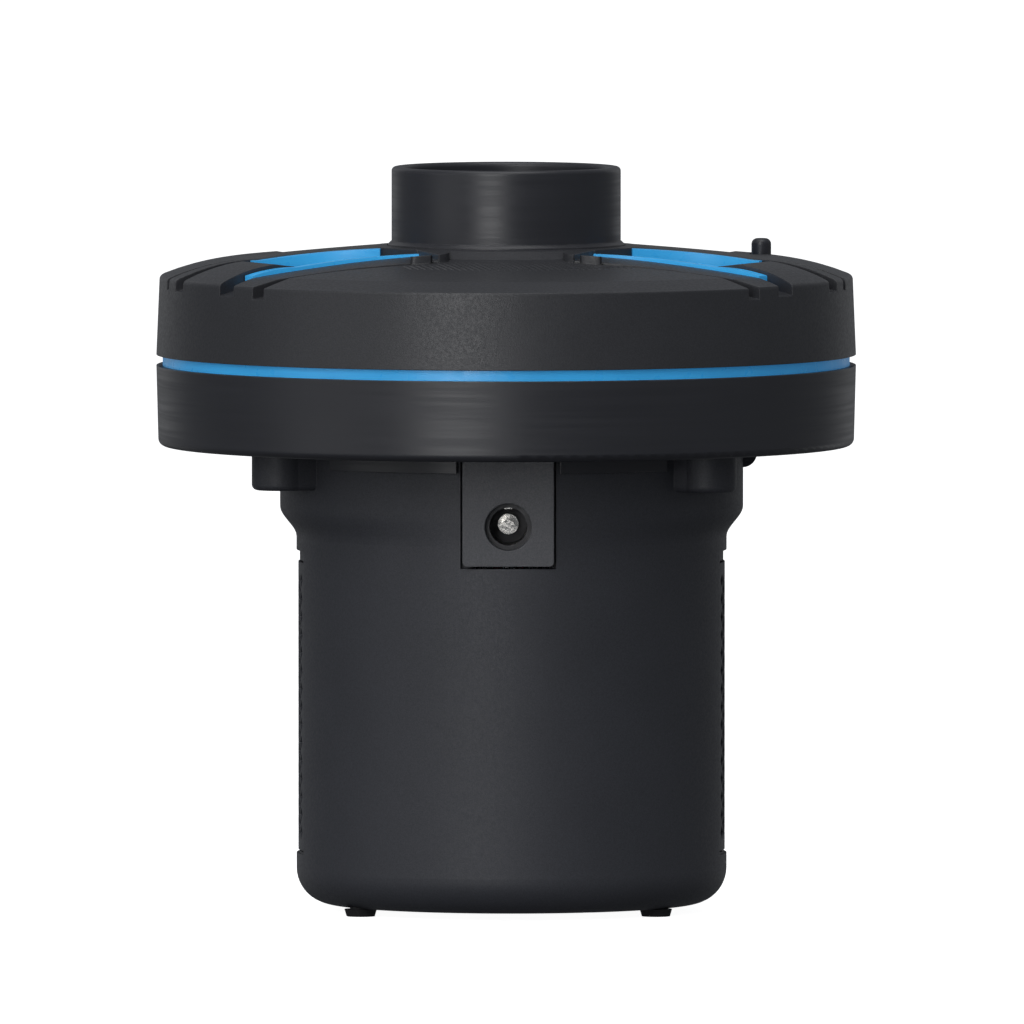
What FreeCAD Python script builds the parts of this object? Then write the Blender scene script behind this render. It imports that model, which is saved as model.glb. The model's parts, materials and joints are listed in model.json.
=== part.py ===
"""Electric air pump for inflatables: a round fan head on a hand-size grip, with its motor, cells and switch.

The frame stands on the floor (Z = 0) with the fan's axis as the Z axis; -Y is the side with the charging socket.
"""
import FreeCAD, Part
import math
import os
import re
import Sketcher

from FreeCAD import Placement, Rotation, Vector

# ---------------------------------------------------------------------------------------------------
# Driving sizes, in millimetres and degrees
# ---------------------------------------------------------------------------------------------------
SIZES = {
    # heights of the stack, from the floor up
    "foot_height": 1.2,
    "grip_height": 76.4,
    "housing_height": 13.4,
    "ring_height": 1.8,
    "cover_wall_height": 13.1,
    "dome_crown": 5.7,
    "nozzle_height": 18.2,
    # fan head
    "head_radius": 58.3,
    "head_draft": 0.35,
    "head_wall": 2.0,
    "head_edge_radius": 1.2,
    "housing_floor": 1.8,
    "housing_step": 2.0,
    "eye_radius": 20.0,
    "eye_lip_height": 2.0,
    "eye_lip_wall": 1.6,
    "collar_height": 3.0,
    "collar_wall": 1.5,
    "collar_front_gap": 8.6,
    "collar_left_reach": 29.8,
    "collar_right_reach": 26.4,
    # trim ring and gasket
    "ring_recess": 1.05,
    "ring_flange_up": 2.2,
    "gasket_thickness": 0.9,
    "seat_depth": 2.1,
    # cover
    "cover_top_wall": 3.6,
    "shoulder_radius": 42.3,
    "shoulder_height": 3.1,
    "shoulder_bulge": 0.8,
    "rim_inset": 0.55,
    "rim_edge_radius": 0.9,
    "channel_depth": 2.4,
    "notch_depth": 0.65,
    "inlay_sink": 0.12,
    "long_inlay_sink": 0.6,
    "groove_depth": 0.9,
    "pocket_drop": 1.9,
    "ledge_drop": 1.2,
    "ridge_drop": 0.85,
    "field_drop": 1.2,
    "rim_drop": 0.3,
    # outlet nozzle
    "nozzle_radius": 19.1,
    "nozzle_wall": 1.8,
    "nozzle_rim_radius": 0.7,
    "nozzle_foot_reach": 0.6,
    "nozzle_foot_height": 0.65,
    "guard_thickness": 1.6,
    "guard_seat_wall": 0.7,
    "guard_seat_gap": 1.0,
    "guard_ring_wall": 1.6,
    "guard_hub_radius": 4.0,
    "guard_bar": 1.4,
    # grip
    "grip_radius": 35.85,
    "grip_offset": 0.9,
    "grip_wall": 2.0,
    "grip_floor": 2.2,
    "grip_bottom_radius": 6.0,
    "grip_inner_corner": 2.6,
    "flare_reach": 38.6,
    "flare_height": 10.0,
    "flare_blend": 5.2,
    "panel_bottom": 10.3,
    "panel_height": 48.0,
    "panel_half_angle": 13.8,
    "panel_sink": 0.3,
    "panel_thickness": 1.1,
    "panel_gap": 0.3,
    "panel_top_gap": 2.3,
    "recess_depth": 0.55,
    "mesh_pitch": 3.0,
    "mesh_hole": 1.7,
    "window_width": 12.0,
    "window_height": 6.5,
    "window_pitch": 9.0,
    "tab_reach": 41.8,
    "tab_height": 3.7,
    "tab_corner": 2.4,
    "tab_thickness": 4.0,
    # feet
    "foot_spacing_x": 49.1,
    "foot_spacing_y": 34.0,
    "foot_radius": 2.7,
    "foot_tip_radius": 2.35,
    "foot_plug_radius": 1.8,
    "foot_plug_height": 1.4,
    # grip bosses and fasteners
    "boss_circle": 41.6,
    "boss_radius": 4.6,
    "boss_height": 6.6,
    "boss_edge_radius": 1.0,
    "boss_web": 8.8,
    "boss_first_angle": 205.0,
    "boss_second_angle": 324.0,
    "boss_third_angle": 83.0,
    "screw_radius": 1.5,
    "screw_core_radius": 1.2,
    "screw_head_radius": 2.75,
    "screw_head_height": 2.0,
    "screw_clearance": 0.25,
    "screw_post_radius": 3.1,
    "post_height": 3.4,
    "post_overlap": 0.8,
    "cover_screw_circle": 51.4,
    "cover_screw_count": 4,
    "cover_screw_first": 45.0,
    "cover_screw_length": 14.0,
    # charging socket
    "socket_offset": 0.35,
    "socket_drop": 11.8,
    "plate_width": 15.2,
    "plate_drop": 18.5,
    "plate_thickness": 2.1,
    "plate_proud": 0.55,
    "plate_corner": 0.8,
    "plate_gap": 0.3,
    "plate_hole_radius": 3.9,
    "jack_width": 9.4,
    "jack_height": 8.8,
    "jack_depth": 12.5,
    "jack_bore_radius": 3.15,
    "jack_bore_depth": 9.5,
    "jack_pin_radius": 1.035,
    "jack_pin_length": 8.6,
    "jack_collar_radius": 1.7,
    "jack_collar_length": 1.5,
    # motor
    "motor_radius": 14.0,
    "motor_length": 38.0,
    "motor_wall": 1.1,
    "motor_below_head": 2.8,
    "motor_nose_radius": 4.6,
    "motor_nose_height": 1.5,
    "end_cap_height": 4.0,
    "bush_radius": 3.0,
    "bush_length": 3.4,
    "shaft_radius": 1.15,
    "running_clearance": 0.03,
    "magnet_thickness": 2.2,
    "magnet_length": 27.0,
    "magnet_angle": 140.0,
    "air_gap": 0.6,
    "core_length": 22.0,
    "slot_width": 2.4,
    "core_hub_radius": 3.6,
    "slot_count": 5,
    "winding_overhang": 3.0,
    "commutator_radius": 3.6,
    "commutator_length": 3.4,
    "brush_gap": 0.08,
    "brush_width": 2.4,
    "brush_length": 4.2,
    "mount_thickness": 2.0,
    "mount_arm_width": 7.0,
    "mount_reach": 30.0,
    "mount_hub_radius": 15.0,
    "motor_screw_circle": 8.0,
    # impeller
    "impeller_radius": 46.0,
    "impeller_height": 13.0,
    "impeller_disc": 1.4,
    "impeller_floor_gap": 4.8,
    "impeller_hub_radius": 7.0,
    "insert_radius": 3.0,
    "blade_count": 9,
    "blade_thickness": 1.2,
    "blade_root_radius": 21.0,
    "blade_arc_radius": 32.0,
    "shaft_stub": 2.2,
    "clip_radius": 3.2,
    "clip_height": 0.8,
    # return vanes
    "vane_plate_radius": 40.0,
    "vane_plate_hole": 15.5,
    "vane_plate_thickness": 1.4,
    "vane_gap": 1.2,
    "vane_height": 3.4,
    "vane_count": 8,
    "vane_thickness": 1.2,
    # cells
    "cell_radius": 9.2,
    "cell_length": 65.0,
    "cell_gap": 0.3,
    "tray_floor": 1.6,
    "tray_wall": 0.8,
    "tray_height": 6.0,
    "clamp_thickness": 1.6,
    "link_thickness": 0.3,
    "link_width": 7.0,
    "fit_gap": 0.2,
    # circuit board
    "board_gap": 0.86,
    "board_thickness": 1.6,
    "board_height": 16.0,
    # switch
    "knob_x": 42.6,
    "knob_y": 16.0,
    "knob_radius": 1.65,
    "knob_proud": 2.55,
    "knob_travel": 4.0,
    "knob_gap": 0.3,
    "slider_width": 5.0,
    "slider_length": 6.0,
    "slider_thickness": 1.0,
    "switch_wall": 1.0,
    "switch_height": 4.4,
    # leads
    "lead_radius": 0.6,
}

doc = FreeCAD.newDocument("air_pump")
sheet = doc.addObject("Spreadsheet::Sheet", "sizes")
for row, (alias, value) in enumerate(SIZES.items(), start=1):
    sheet.set(f"A{row}", alias)
    sheet.set(f"B{row}", str(value))
    sheet.setAlias(f"B{row}", alias)
calculator = doc.addObject("App::FeaturePython", "calculator")
calculator.addProperty("App::PropertyFloat", "result")
doc.recompute()

# ---------------------------------------------------------------------------------------------------
# Places worked out from the sizes
# ---------------------------------------------------------------------------------------------------
HEAD = "(foot_height + grip_height)"
HOUSING_TOP = f"({HEAD} + housing_height)"
COVER = f"({HOUSING_TOP} + ring_height)"
RIM = f"({COVER} + cover_wall_height)"
CROWN = f"({RIM} + dome_crown)"
HEAD_INNER = "(head_radius - head_wall)"
RIM_RADIUS = "(head_radius - rim_inset)"
NOZZLE_BORE = "(nozzle_radius - nozzle_wall)"
NOZZLE_FOOT = "(nozzle_radius + nozzle_foot_reach)"
GRIP_INNER = "(grip_radius - grip_wall)"
MOTOR_FACE = f"({HEAD} - motor_below_head)"
MOTOR_BACK = f"({MOTOR_FACE} - motor_length)"
FLARE = f"({HEAD} - flare_height - flare_blend)"
SOCKET = f"({HEAD} - socket_drop)"
IMPELLER = f"({HEAD} + housing_floor + impeller_floor_gap)"
IMPELLER_TOP = f"({IMPELLER} + impeller_height)"
CELL_CIRCLE = "(motor_radius + cell_radius + cell_gap)"
BOARD_SIDE = f"(({CELL_CIRCLE} - cell_radius - board_gap) * sqrt(2))"
CELL_FLOOR = "(foot_height + grip_floor + tray_floor + link_thickness)"
CELL_TOP = f"({CELL_FLOOR} + cell_length)"
PLATE_FACE = "(grip_radius + plate_proud)"
VANE_PLATE = f"({IMPELLER_TOP} + vane_gap)"
KNOB_RADIUS_AT_REST = "sqrt(knob_x * knob_x + knob_y * knob_y)"

NODES = []


def in_sheet(formula):
    """The formula with each size's name pointing into the sheet."""
    return re.sub(r"[a-z]\w+", lambda word: f"sizes.{word[0]}" if word[0] in SIZES else word[0], str(formula))


def mm(formula):
    """The number that a formula of named sizes gives."""
    calculator.setExpression("result", in_sheet(formula))
    calculator.recompute()
    return calculator.result


def bind(thing, **formulas):
    for name, formula in formulas.items():
        thing.setExpression(name, in_sheet(formula))


def move(thing, x="0", y="0", z="0"):
    for name, formula in (("x", x), ("y", y), ("z", z)):
        thing.setExpression(f"Placement.Base.{name}", in_sheet(formula))
    return thing


def turn_about_z(thing, formula):
    thing.setExpression("Placement.Rotation.Yaw", in_sheet(f"mod({formula} + 180; 360) - 180"))


def node(thing, name):
    """Give a finished piece its name and list it for writing."""
    thing.Label = name
    NODES.append(thing)
    return thing


# ---------------------------------------------------------------------------------------------------
# Primitives and booleans
# ---------------------------------------------------------------------------------------------------
def cylinder(name, radius, height, x="0", y="0", z="0"):
    piece = doc.addObject("Part::Cylinder", name)
    bind(piece, Radius=radius, Height=height)
    return move(piece, x, y, z)


def rod_along_y(name, radius, length, x, y, z):
    """A cylinder that starts at y and runs towards +Y."""
    piece = doc.addObject("Part::Cylinder", name)
    piece.Placement = Placement(Vector(), Rotation(Vector(1, 0, 0), -90))
    bind(piece, Radius=radius, Height=length)
    return move(piece, x, y, z)


def cone(name, low_radius, high_radius, height, x="0", y="0", z="0"):
    piece = doc.addObject("Part::Cone", name)
    bind(piece, Radius1=low_radius, Radius2=high_radius, Height=height)
    return move(piece, x, y, z)


def box(name, size_x, size_y, size_z, x, y, z):
    """A box centred on x and y that stands on z."""
    piece = doc.addObject("Part::Box", name)
    bind(piece, Length=size_x, Width=size_y, Height=size_z)
    return move(piece, f"{x} - ({size_x}) / 2", f"{y} - ({size_y}) / 2", z)


def fuse(name, pieces):
    piece = doc.addObject("Part::MultiFuse", name)
    piece.Shapes = list(pieces)
    return piece


def cut(name, base, tools):
    tools = list(tools)
    piece = doc.addObject("Part::Cut", name)
    piece.Base = base
    piece.Tool = tools[0] if len(tools) == 1 else fuse(f"{name}_tools", tools)
    return piece


def tube(name, outer, inner, height, x="0", y="0", z="0"):
    outside = cylinder(f"{name}_outside", outer, height, x, y, z)
    inside = cylinder(f"{name}_inside", inner, f"{height} + 2", x, y, f"{z} - 1")
    return cut(name, outside, [inside])


def shaped(name, shape):
    """A piece whose shape is made with Part's own functions from the sheet's numbers."""
    piece = doc.addObject("Part::Feature", name)
    piece.Shape = shape
    return piece


def copies(name, shapes):
    return shaped(name, Part.makeCompound(list(shapes)))


# ---------------------------------------------------------------------------------------------------
# Turned pieces: a body with one sketch, revolved about its own vertical axis
# ---------------------------------------------------------------------------------------------------
def new_sketch(body, name, role):
    sketch = body.newObject("Sketcher::SketchObject", name)
    plane = next(feature for feature in body.Origin.OriginFeatures if feature.Role == role)
    sketch.AttachmentSupport = (plane, [""])
    sketch.MapMode = "FlatFace"
    return sketch


def draw_outline(sketch, points):
    """A closed outline whose corners are each held at a pair of formulas."""
    corners = [Vector(mm(across), mm(up), 0) for across, up in points]
    first = sketch.GeometryCount
    count = len(corners)
    for number, corner in enumerate(corners):
        sketch.addGeometry(Part.LineSegment(corner, corners[(number + 1) % count]), False)
    for number in range(count):
        after = first + (number + 1) % count
        sketch.addConstraint(Sketcher.Constraint("Coincident", first + number, 2, after, 1))
    for number, (across, up) in enumerate(points):
        for kind, formula in (("DistanceX", across), ("DistanceY", up)):
            place = sketch.addConstraint(
                Sketcher.Constraint(kind, -1, 1, first + number, 1, mm(formula)))
            sketch.setExpression(f"Constraints[{place}]", in_sheet(formula))


def turned(name, points):
    """A body turned from an outline of (radius, height) corners."""
    body = doc.addObject("PartDesign::Body", name)
    sketch = new_sketch(body, f"{name}_outline", "XZ_Plane")
    draw_outline(sketch, points)
    turn = body.newObject("PartDesign::Revolution", f"{name}_turn")
    turn.Profile = sketch
    turn.ReferenceAxis = (sketch, ["V_Axis"])
    turn.Angle = 360
    doc.recompute()
    return body


def is_circle(edge):
    return not edge.Degenerated and isinstance(edge.Curve, Part.Circle)


def round_circles(body, radius, circles):
    """Round the circular edges of a turned body at the given (radius, height) places."""
    base = body.Tip
    wanted = [(mm(across), mm(up)) for across, up in circles]
    names = []
    for number, edge in enumerate(base.Shape.Edges, start=1):
        if not is_circle(edge):
            continue
        place = (edge.Curve.Radius, edge.Curve.Center.z)
        if any(math.dist(place, spot) < 0.01 for spot in wanted):
            names.append(f"Edge{number}")
    if not names:
        raise RuntimeError(f"no edge to round on {body.Name}")
    rounding = body.newObject("PartDesign::Fillet", f"{body.Name}_round_{len(body.Group)}")
    rounding.Base = (base, names)
    bind(rounding, Radius=radius)
    body.Tip = rounding
    doc.recompute()
    return body


def polar(radius, angle, height=0.0):
    turn = math.radians(angle)
    return Vector(radius * math.cos(turn), radius * math.sin(turn), height)


def boss_places():
    """The three screw places under the head, as pairs of formulas."""
    for name in ("boss_first_angle", "boss_second_angle", "boss_third_angle"):
        yield f"boss_circle * cos({name} * 1deg)", f"boss_circle * sin({name} * 1deg)"


def cover_screw_places():
    for number in range(int(SIZES["cover_screw_count"])):
        angle = f"((cover_screw_first + {number} * 360 / cover_screw_count) * 1deg)"
        yield f"cover_screw_circle * cos{angle}", f"cover_screw_circle * sin{angle}"


# ---------------------------------------------------------------------------------------------------
# Grip: a cup with a flare at its mouth, vent windows at its sides and a slot for the socket plate
# ---------------------------------------------------------------------------------------------------
def side_sector(name, outer, inner, half_angle, height, z, side):
    """A piece of a tube centred on the grip's +X (side 1) or -X (side -1) direction."""
    outside = doc.addObject("Part::Cylinder", f"{name}_outside")
    bind(outside, Radius=outer, Height=height, Angle=f"2 * {half_angle}")
    turn_about_z(outside, f"{90 - 90 * side} - {half_angle}")
    move(outside, "grip_offset", "0", z)
    inside = cylinder(f"{name}_inside", inner, f"{height} + 2", "grip_offset", "0", f"{z} - 1")
    return cut(name, outside, [inside])


def ellipse_face(reach_x, reach_y, height):
    curve = Part.Ellipse(Vector(mm("grip_offset"), 0, height), reach_x, reach_y)
    return Part.Wire([curve.toShape()])


def flare():
    """The grip's mouth widens sideways under the head: stacked ellipses, hollow inside."""
    top = mm(HEAD)
    start = mm(FLARE)
    full = top - mm("flare_height")
    narrow = mm("grip_radius")
    swell = mm("flare_reach") - narrow
    steps = 8
    sections = []
    for step in range(steps + 1):
        share = step / steps
        reach = narrow + swell * (1 - math.cos(share * math.pi)) / 2
        sections.append(ellipse_face(reach, narrow, start + share * (full - start)))
    blend = Part.makeLoft(sections, True, False)
    straight = Part.Face(sections[-1]).extrude(Vector(0, 0, top - full))
    hollow = Part.makeCylinder(mm(GRIP_INNER), top - start + 2, Vector(mm("grip_offset"), 0, start - 1))
    return shaped("flare", blend.fuse(straight).cut(hollow))


def boss_solid(name, x, y):
    """A screw boss with a rounded lower edge and a rib straight towards the axis, into the grip's wall."""
    place = Vector(mm(x), mm(y), 0)
    radius = mm("boss_radius")
    height = mm("boss_height")
    web = mm("boss_web")
    edge_radius = mm("boss_edge_radius")
    post = Part.makeCylinder(radius, height)
    post = post.makeFillet(edge_radius, [edge for edge in post.Edges if is_circle(edge)
                                         and edge.Curve.Center.z < 0.01])
    length = place.Length - mm(GRIP_INNER) - 0.8
    rib = Part.makeBox(length, web, height, Vector(-length, -web / 2, 0))
    rib = rib.makeFillet(edge_radius, [edge for edge in rib.Edges if abs(edge.CenterOfMass.z) < 0.01
                                       and abs(abs(edge.CenterOfMass.y) - web / 2) < 0.01])
    rib.rotate(Vector(), Vector(0, 0, 1), math.degrees(math.atan2(place.y, place.x)))
    shape = post.fuse(rib).translated(Vector(place.x, place.y, mm(HEAD) - height))
    return shaped(name, shape)


def side_tab(side):
    """A short ledge under the head with a rounded end, at the +X (side 1) or -X (side -1) side."""
    width = mm("tab_thickness")
    height = mm("tab_height")
    start = mm("grip_radius")
    length = mm("tab_reach") - start
    tab = Part.makeBox(length, width, height, Vector(start, 0, mm(HEAD) - height))
    end = [edge for edge in tab.Edges if abs(edge.CenterOfMass.x - start - length) < 0.01
           and abs(edge.CenterOfMass.z - mm(HEAD) + height) < 0.01]
    tab = tab.makeFillet(mm("tab_corner"), end)
    if side < 0:
        tab = tab.mirror(Vector(), Vector(1, 0, 0))
    return shaped(f"side_tab_{side + 1}", tab)


def grip_body():
    cup_top = f"{FLARE} - foot_height"
    cup = turned("grip_cup", [
        ("0", "0"), ("grip_radius", "0"), ("grip_radius", cup_top), (GRIP_INNER, cup_top),
        (GRIP_INNER, "grip_floor"), ("0", "grip_floor")])
    round_circles(cup, "grip_bottom_radius", [("grip_radius", "0")])
    round_circles(cup, "grip_inner_corner", [(GRIP_INNER, "grip_floor")])
    move(cup, "grip_offset", "0", "foot_height")
    solids = [cup, flare()]
    holes = []
    for number, (x, y) in enumerate(boss_places(), start=1):
        low = f"{HEAD} - boss_height"
        solids.append(boss_solid(f"boss_{number}", x, y))
        holes.append(cylinder(f"boss_hole_{number}", "screw_radius + screw_clearance",
                              "boss_height + 2", x, y, f"{low} - 1"))
        holes.append(cylinder(f"boss_sink_{number}", "screw_head_radius + screw_clearance",
                              "boss_height / 2", x, y, f"{low} - 0.5"))
    for side in (-1, 1):
        solids.append(side_tab(side))
        holes.append(side_sector(f"recess_{side + 1}", "grip_radius + 2", "grip_radius - recess_depth",
                                 "(panel_half_angle + 1)",
                                 "panel_height + panel_gap + panel_top_gap",
                                 "panel_bottom - 2 * panel_gap", side))
        holes.append(side_sector(f"pocket_{side + 1}", "grip_radius + 2",
                                 "grip_radius - panel_sink - panel_thickness",
                                 "(panel_half_angle + 0.4)", "panel_height + 2 * panel_gap",
                                 "panel_bottom - panel_gap", side))
        for row in range(5):
            centre = f"panel_bottom + panel_height / 2 + {row - 2} * window_pitch - window_height / 2"
            holes.append(box(f"window_{side + 1}_{row}", "8", "window_width", "window_height",
                             f"grip_offset + {side} * grip_radius", "0", centre))
    holes.append(box("plate_slot", "plate_width + 2 * plate_gap", "12", "plate_drop + plate_gap + 1",
                     "socket_offset", "-grip_radius - 6 + grip_wall + 0.6",
                     f"{HEAD} - plate_drop - plate_gap"))
    holes.append(box("jack_slot", "jack_width + 2 * fit_gap", "12", "jack_height + 2 * fit_gap",
                     "socket_offset", "-grip_radius", f"{SOCKET} - jack_height / 2 - fit_gap"))
    for number, (x, y) in enumerate(foot_places(), start=1):
        holes.append(cylinder(f"foot_hole_{number}", "foot_plug_radius", "foot_plug_height + 1",
                              x, y, "foot_height - 1"))
    node(cut("grip_body", fuse("grip_solids", solids), holes), "grip_body")


def grip_panel(side, name):
    """A curved vent panel pierced by staggered diamond holes."""
    plate = side_sector(f"{name}_plate", "grip_radius - panel_sink",
                        "grip_radius - panel_sink - panel_thickness + 0.02",
                        "panel_half_angle", "panel_height", "panel_bottom", side)
    pitch = mm("mesh_pitch")
    hole = mm("mesh_hole")
    height = mm("panel_height")
    half_width = mm("(grip_radius - panel_sink) * sin(panel_half_angle * 1deg)")
    columns = int((half_width - hole) / (pitch / 2))
    rows = int((height / 2 - hole) / (pitch / 2))
    holes = []
    for column in range(-columns, columns + 1):
        for row in range(-rows, rows + 1):
            if (column + row) % 2:
                continue
            diamond = Part.makeBox(8, hole, hole, Vector(-4, -hole / 2, -hole / 2))
            diamond.rotate(Vector(), Vector(1, 0, 0), 45)
            diamond.translate(Vector(mm(f"grip_offset + {side} * grip_radius"), column * pitch / 2,
                                     mm("panel_bottom") + height / 2 + row * pitch / 2))
            holes.append(diamond)
    node(cut(name, plate, [copies(f"{name}_holes", holes)]), name)


def foot_places():
    for side_x in (-1, 1):
        for side_y in (-1, 1):
            yield (f"socket_offset + {side_x} * foot_spacing_x / 2", f"{side_y} * foot_spacing_y / 2")


def feet():
    for number, (x, y) in enumerate(foot_places(), start=1):
        pad = cone(f"foot_pad_{number}", "foot_tip_radius", "foot_radius", "foot_height", x, y, "0")
        plug = cylinder(f"foot_plug_{number}", "foot_plug_radius", "foot_plug_height", x, y, "foot_height")
        node(fuse(f"foot_{number}", [pad, plug]), f"rubber_foot_{number}")


# ---------------------------------------------------------------------------------------------------
# Charging socket
# ---------------------------------------------------------------------------------------------------
def charging_socket():
    body = doc.addObject("PartDesign::Body", "jack_plate")
    sketch = new_sketch(body, "jack_plate_outline", "XZ_Plane")
    half = "plate_width / 2"
    low = "-plate_drop + 0.1"
    draw_outline(sketch, [(f"-{half}", low), (half, low), (half, "-0.1"), (f"-{half}", "-0.1")])
    ring = sketch.addGeometry(Part.Circle(Vector(0, mm("-socket_drop"), 0), Vector(0, 0, 1),
                                          mm("plate_hole_radius")), False)
    rules = [("DistanceX", -1, 1, ring, 3, "0"), ("DistanceY", -1, 1, ring, 3, "-socket_drop")]
    for kind, first, first_end, second, second_end, formula in rules:
        place = sketch.addConstraint(
            Sketcher.Constraint(kind, first, first_end, second, second_end, mm(formula)))
        sketch.setExpression(f"Constraints[{place}]", in_sheet(formula))
    place = sketch.addConstraint(Sketcher.Constraint("Radius", ring, mm("plate_hole_radius")))
    sketch.setExpression(f"Constraints[{place}]", in_sheet("plate_hole_radius"))
    pad = body.newObject("PartDesign::Pad", "jack_plate_pad")
    pad.Profile = sketch
    bind(pad, Length="plate_thickness")
    pad.Reversed = True
    doc.recompute()
    low_z = mm(low)
    corners = [f"Edge{number}" for number, edge in enumerate(pad.Shape.Edges, start=1)
               if isinstance(edge.Curve, Part.Line) and abs(edge.tangentAt(edge.FirstParameter).y) > 0.99
               and abs(edge.CenterOfMass.z - low_z) < 0.01]
    rounding = body.newObject("PartDesign::Fillet", "jack_plate_corners")
    rounding.Base = (pad, corners)
    bind(rounding, Radius="plate_corner")
    body.Tip = rounding
    move(body, "socket_offset", f"-{PLATE_FACE}", HEAD)
    node(body, "jack_plate")

    back = f"-{PLATE_FACE} + plate_thickness"
    block = box("jack_block", "jack_width", "jack_depth", "jack_height", "socket_offset",
                f"({back} + jack_depth / 2)", f"{SOCKET} - jack_height / 2")
    bore = rod_along_y("jack_bore", "jack_bore_radius", "jack_bore_depth + 1", "socket_offset",
                       f"{back} - 1", SOCKET)
    seat = rod_along_y("jack_pin_seat", "jack_pin_radius", "jack_depth + 2", "socket_offset",
                       f"{back} - 1", SOCKET)
    spring_seat = box("jack_spring_seat", "1.6", "jack_bore_depth - 2", "1.2", "socket_offset",
                      f"({back} + jack_bore_depth / 2)", f"{SOCKET} + jack_bore_radius - 0.4")
    node(cut("dc_jack", block, [bore, seat, spring_seat]), "dc_jack")

    tip = f"({back} + jack_bore_depth - jack_pin_length)"
    pin = rod_along_y("jack_pin_rod", "jack_pin_radius", "jack_pin_length + 3", "socket_offset", tip, SOCKET)
    collar = rod_along_y("jack_pin_collar", "jack_collar_radius", "jack_collar_length", "socket_offset",
                         f"{back} + jack_bore_depth - jack_collar_length", SOCKET)
    node(fuse("jack_pin", [pin, collar]), "jack_pin")
    node(box("jack_spring", "1.4", "jack_bore_depth - 2.4", "0.5", "socket_offset",
             f"({back} + jack_bore_depth / 2)", f"{SOCKET} + jack_bore_radius - 0.3"), "jack_spring")


# ---------------------------------------------------------------------------------------------------
# Fan head: housing, gasket, trim ring and cover
# ---------------------------------------------------------------------------------------------------
def collar_segments():
    """Short walls under the head, close around the grip at its front and back."""
    low = mm(HEAD) - mm("collar_height")
    gap = mm("fit_gap")
    reach_x = mm("flare_reach") + gap
    reach_y = mm("grip_radius") + gap
    wall = mm("collar_wall")
    outer = Part.Face(ellipse_face(reach_x + wall, reach_y + wall, low))
    inner = Part.Face(ellipse_face(reach_x, reach_y, low))
    ring = outer.cut(inner).extrude(Vector(0, 0, mm("collar_height") + 0.5))
    segments = []
    near = mm("collar_front_gap")
    middle = mm("socket_offset")
    for start, end in ((-mm("collar_left_reach"), -near), (near, mm("collar_right_reach"))):
        window = Part.makeBox(end - start, 80, 20, Vector(start + middle, -80, low - 5))
        segments.append(ring.common(window))
    return shaped("collar_segments", Part.makeCompound(segments))


def fan_housing():
    shell = turned("housing_shell", [
        ("eye_radius", "0"), ("head_radius - head_draft", "0"), ("head_radius", "housing_height"),
        (HEAD_INNER, "housing_height"), (HEAD_INNER, "housing_height - seat_depth"),
        (f"{HEAD_INNER} - housing_step", "housing_height - seat_depth"),
        (f"{HEAD_INNER} - housing_step", "housing_floor"),
        ("eye_radius + eye_lip_wall", "housing_floor"),
        ("eye_radius + eye_lip_wall", "housing_floor + eye_lip_height"),
        ("eye_radius", "housing_floor + eye_lip_height")])
    round_circles(shell, "head_edge_radius", [("head_radius - head_draft", "0")])
    move(shell, z=HEAD)
    solids = [shell, collar_segments()]
    holes = []
    for number, (x, y) in enumerate(boss_places(), start=1):
        solids.append(cylinder(f"grip_post_{number}", "screw_post_radius", "housing_floor + post_height",
                               x, y, HEAD))
        holes.append(cylinder(f"grip_post_hole_{number}", "screw_core_radius",
                              "housing_floor + post_height", x, y, f"{HEAD} - 1"))
    for number, (x, y) in enumerate(cover_screw_places(), start=1):
        solids.append(cylinder(f"cover_post_{number}", "screw_post_radius", "housing_height - 1", x, y, HEAD))
        holes.append(cylinder(f"cover_post_hole_{number}", "screw_radius + screw_clearance",
                              "housing_height + 2", x, y, f"{HEAD} - 1"))
        holes.append(cylinder(f"cover_post_sink_{number}", "screw_head_radius + screw_clearance",
                              "screw_head_height + 2", x, y, f"{HEAD} - 1"))
    node(cut("fan_housing", fuse("housing_solids", solids), holes), "fan_housing")


def ring_and_gasket():
    inner = f"({HEAD_INNER} - housing_step + fit_gap)"
    outer = f"({HEAD_INNER} - fit_gap)"
    seat = "(-seat_depth)"
    gasket = turned("gasket_ring", [
        (inner, seat), (outer, seat), (outer, f"{seat} + gasket_thickness"),
        (inner, f"{seat} + gasket_thickness")])
    move(gasket, z=HOUSING_TOP)
    node(gasket, "housing_gasket")
    ring = turned("ring_turning", [
        (inner, f"{seat} + gasket_thickness"), (outer, f"{seat} + gasket_thickness"), (outer, "0"),
        ("head_radius - ring_recess", "0"), ("head_radius - ring_recess", "ring_height"),
        (outer, "ring_height"), (outer, "ring_height + ring_flange_up"),
        (inner, "ring_height + ring_flange_up")])
    move(ring, z=HOUSING_TOP)
    node(ring, "trim_ring")


def dome_height(radius):
    """Height of the cover's outside above its rim at a distance from the axis."""
    crown = mm("dome_crown")
    shoulder = mm("shoulder_radius")
    high = mm("shoulder_height")
    drop = crown - high
    sphere = (shoulder ** 2 + drop ** 2) / (2 * drop)
    if radius <= shoulder:
        return crown - sphere + math.sqrt(sphere ** 2 - radius ** 2)
    share = (radius - shoulder) / (mm(RIM_RADIUS) - shoulder)
    return high * (1 - share) + 4 * mm("shoulder_bulge") * share * (1 - share)


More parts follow.
